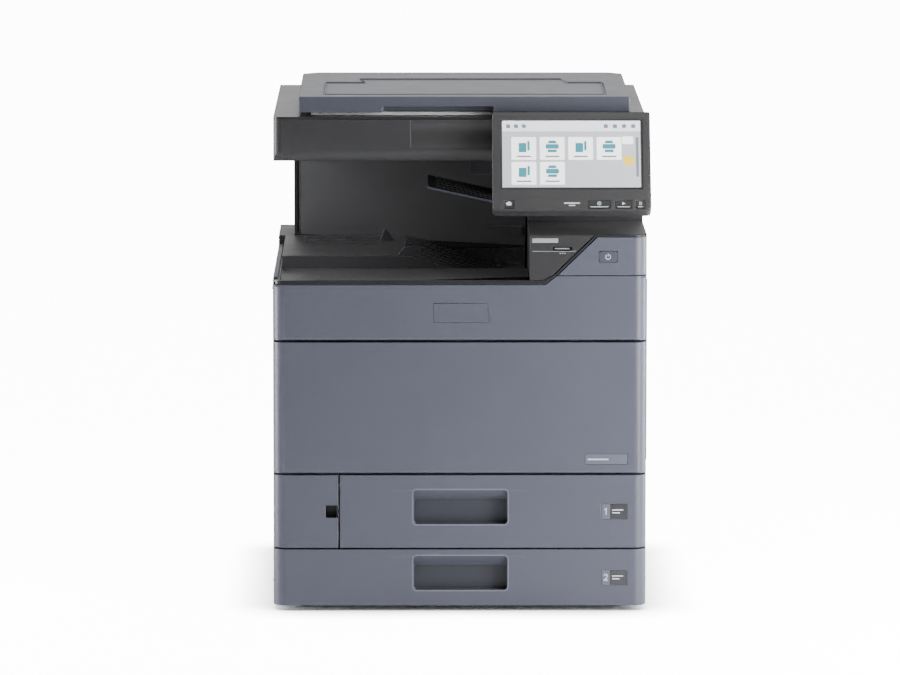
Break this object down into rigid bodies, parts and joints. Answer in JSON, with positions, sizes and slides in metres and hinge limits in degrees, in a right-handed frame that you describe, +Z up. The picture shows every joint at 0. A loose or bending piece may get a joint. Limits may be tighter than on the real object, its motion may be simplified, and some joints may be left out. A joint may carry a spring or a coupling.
{
  "type": "office photocopier",
  "caption": "Floor-standing multifunction photocopier with paper drawers, an in-body output bay, a flatbed scanner under a hinged cover and a tilting touch panel.",
  "frame": {"origin": "centre of the machine's footprint, on the floor", "axes": "+Z up, front towards -Y, right side (seen from the front) towards +X"},
  "size_m": [0.58, 0.665, 0.7899],
  "materials": {
    "body_plastic": "fine-textured satin",
    "lid_plastic": "fine-textured satin",
    "dark_plastic": "fine-textured matt",
    "black_plastic": "satin",
    "screen": "gloss",
    "clear_glass": "polished",
    "white_pad": "smooth",
    "steel": "galvanised",
    "light_pipe": "translucent gloss",
    "guide_plastic": "satin",
    "toner_yellow": "satin",
    "toner_magenta": "satin",
    "toner_cyan": "satin",
    "toner_black": "satin",
    "drum": "mirror smooth",
    "rubber": "matt"
  },
  "bodies": {
    "frame": {"base_frame": "steel", "feet": "rubber", "side_walls": "steel", "left_cover": "body_plastic", "right_front_cover": "body_plastic", "right_rear_cover": "body_plastic", "rear_cover": "body_plastic", "power_inlet": "black_plastic", "inner_cover": "dark_plastic", "tray_trim": "black_plastic", "inner_tray": "dark_plastic", "separator_tray": "dark_plastic", "rear_tower": "dark_plastic", "right_column": "dark_plastic", "panel_shelf": "dark_plastic", "usb_panel": "dark_plastic", "status_light": "light_pipe", "power_panel": "body_plastic", "scanner_housing": "dark_plastic", "scanner_top": "black_plastic", "platen_glass": "clear_glass", "panel_arm": "black_plastic", "cover_hinges": "black_plastic", "laser_unit": "dark_plastic", "drum_units": "drum", "transfer_unit": "black_plastic", "fuser_housing": "dark_plastic"},
    "document_cover": {"document_cover": "lid_plastic", "cover_pad": "white_pad"},
    "lamp_carriage": {"lamp_carriage": "black_plastic"},
    "mirror_carriage": {"mirror_carriage": "black_plastic"},
    "control_panel": {"control_panel": "dark_plastic", "touch_screen": "screen"},
    "home_key": {"home_key": "black_plastic"},
    "stop_key": {"stop_key": "black_plastic"},
    "start_key": {"start_key": "black_plastic"},
    "menu_key": {"menu_key": "black_plastic"},
    "power_button": {"power_button": "lid_plastic"},
    "toner_cover": {"toner_cover": "body_plastic"},
    "front_cover": {"front_cover": "body_plastic"},
    "switch_cover": {"switch_cover": "body_plastic"},
    "main_switch": {"main_switch": "black_plastic"},
    "right_door": {"right_door": "body_plastic"},
    "mp_tray": {"mp_tray": "body_plastic"},
    "mp_extension": {"mp_extension": "dark_plastic"},
    "exit_roller": {"exit_roller": "rubber"},
    "drawer_1": {"drawer_front_1": "body_plastic", "drawer_tray_1": "dark_plastic"},
    "front_guide_1": {"front_guide_1": "guide_plastic"},
    "rear_guide_1": {"rear_guide_1": "guide_plastic"},
    "end_guide_1": {"end_guide_1": "guide_plastic"},
    "drawer_2": {"drawer_front_2": "body_plastic", "drawer_tray_2": "dark_plastic"},
    "front_guide_2": {"front_guide_2": "guide_plastic"},
    "rear_guide_2": {"rear_guide_2": "guide_plastic"},
    "end_guide_2": {"end_guide_2": "guide_plastic"},
    "toner_bottle_1": {"toner_bottle_1": "toner_yellow"},
    "toner_bottle_2": {"toner_bottle_2": "toner_magenta"},
    "toner_bottle_3": {"toner_bottle_3": "toner_cyan"},
    "toner_bottle_4": {"toner_bottle_4": "toner_black"}
  },
  "joints": [
    {"name": "document_cover_hinge", "type": "hinge", "parent": "frame", "child": "document_cover", "pos_m": [0, 0.228, 0.7709], "axis": [-1, 0, 0], "range_deg": [0, 70]},
    {"name": "lamp_carriage_slide", "type": "slide", "parent": "frame", "child": "lamp_carriage", "axis": [1, 0, 0], "range_m": [0, 0.42]},
    {"name": "mirror_carriage_slide", "type": "slide", "parent": "frame", "child": "mirror_carriage", "axis": [1, 0, 0], "range_m": [0, 0.21]},
    {"name": "panel_tilt", "type": "hinge", "parent": "frame", "child": "control_panel", "pos_m": [0, -0.23652, 0.75672], "axis": [-1, 0, 0], "range_deg": [0, 26]},
    {"name": "home_key_press", "type": "slide", "parent": "control_panel", "child": "home_key", "axis": [0, 0.8443, -0.5358], "range_m": [0, 0.0012], "stiffness_N_per_m": 800},
    {"name": "stop_key_press", "type": "slide", "parent": "control_panel", "child": "stop_key", "axis": [0, 0.8443, -0.5358], "range_m": [0, 0.0012], "stiffness_N_per_m": 800},
    {"name": "start_key_press", "type": "slide", "parent": "control_panel", "child": "start_key", "axis": [0, 0.8443, -0.5358], "range_m": [0, 0.0012], "stiffness_N_per_m": 800},
    {"name": "menu_key_press", "type": "slide", "parent": "control_panel", "child": "menu_key", "axis": [0, 0.8443, -0.5358], "range_m": [0, 0.0012], "stiffness_N_per_m": 800},
    {"name": "power_button_press", "type": "slide", "parent": "frame", "child": "power_button", "axis": [0, 1, 0], "range_m": [0, 0.0015], "stiffness_N_per_m": 800},
    {"name": "toner_cover_hinge", "type": "hinge", "parent": "frame", "child": "toner_cover", "pos_m": [0, -0.2925, 0.4257], "axis": [1, 0, 0], "range_deg": [0, 90]},
    {"name": "front_cover_hinge", "type": "hinge", "parent": "frame", "child": "front_cover", "pos_m": [0, -0.2925, 0.2192], "axis": [1, 0, 0], "range_deg": [0, 90]},
    {"name": "switch_cover_hinge", "type": "hinge", "parent": "frame", "child": "switch_cover", "pos_m": [-0.2855, -0.277, 0.0986], "axis": [0, 0, -1], "range_deg": [0, 90]},
    {"name": "main_switch_rocker", "type": "hinge", "parent": "frame", "child": "main_switch", "pos_m": [-0.239, -0.2622, 0.1546], "axis": [1, 0, 0], "range_deg": [0, 14]},
    {"name": "drawer_1_slide", "type": "slide", "parent": "frame", "child": "drawer_1", "axis": [0, -1, 0], "range_m": [0, 0.4]},
    {"name": "front_guide_1_slide", "type": "slide", "parent": "drawer_1", "child": "front_guide_1", "axis": [0, 1, 0], "range_m": [0, 0.07]},
    {"name": "rear_guide_1_slide", "type": "slide", "parent": "drawer_1", "child": "rear_guide_1", "axis": [0, -1, 0], "range_m": [0, 0.07]},
    {"name": "end_guide_1_slide", "type": "slide", "parent": "drawer_1", "child": "end_guide_1", "axis": [1, 0, 0], "range_m": [0, 0.2]},
    {"name": "drawer_2_slide", "type": "slide", "parent": "frame", "child": "drawer_2", "axis": [0, -1, 0], "range_m": [0, 0.4]},
    {"name": "front_guide_2_slide", "type": "slide", "parent": "drawer_2", "child": "front_guide_2", "axis": [0, 1, 0], "range_m": [0, 0.07]},
    {"name": "rear_guide_2_slide", "type": "slide", "parent": "drawer_2", "child": "rear_guide_2", "axis": [0, -1, 0], "range_m": [0, 0.07]},
    {"name": "end_guide_2_slide", "type": "slide", "parent": "drawer_2", "child": "end_guide_2", "axis": [1, 0, 0], "range_m": [0, 0.2]},
    {"name": "right_door_hinge", "type": "hinge", "parent": "frame", "child": "right_door", "pos_m": [0.286, 0.1465, 0.2242], "axis": [0, 0, 1], "range_deg": [0, 90]},
    {"name": "mp_tray_hinge", "type": "hinge", "parent": "right_door", "child": "mp_tray", "pos_m": [0.2835, -0.1605, 0.2452], "axis": [0, 1, 0], "range_deg": [0, 75]},
    {"name": "mp_extension_slide", "type": "slide", "parent": "mp_tray", "child": "mp_extension", "axis": [0, 0, 1], "range_m": [0, 0.08]},
    {"name": "toner_bottle_1_turn", "type": "hinge", "parent": "frame", "child": "toner_bottle_1", "pos_m": [-0.234, 0, 0.4647], "axis": [0, 1, 0], "continuous": true},
    {"name": "toner_bottle_2_turn", "type": "hinge", "parent": "frame", "child": "toner_bottle_2", "pos_m": [-0.164, 0, 0.4647], "axis": [0, 1, 0], "continuous": true},
    {"name": "toner_bottle_3_turn", "type": "hinge", "parent": "frame", "child": "toner_bottle_3", "pos_m": [-0.094, 0, 0.4647], "axis": [0, 1, 0], "continuous": true},
    {"name": "toner_bottle_4_turn", "type": "hinge", "parent": "frame", "child": "toner_bottle_4", "pos_m": [-0.024, 0, 0.4647], "axis": [0, 1, 0], "continuous": true},
    {"name": "exit_roller_turn", "type": "hinge", "parent": "frame", "child": "exit_roller", "pos_m": [0.121, 0, 0.4873], "axis": [0, 1, 0], "continuous": true}
  ],
  "couplings": [
    {"joint": "mirror_carriage_slide", "follows": "lamp_carriage_slide", "ratio": 0.5},
    {"joint": "rear_guide_1_slide", "follows": "front_guide_1_slide", "ratio": 1},
    {"joint": "rear_guide_2_slide", "follows": "front_guide_2_slide", "ratio": 1}
  ]
}
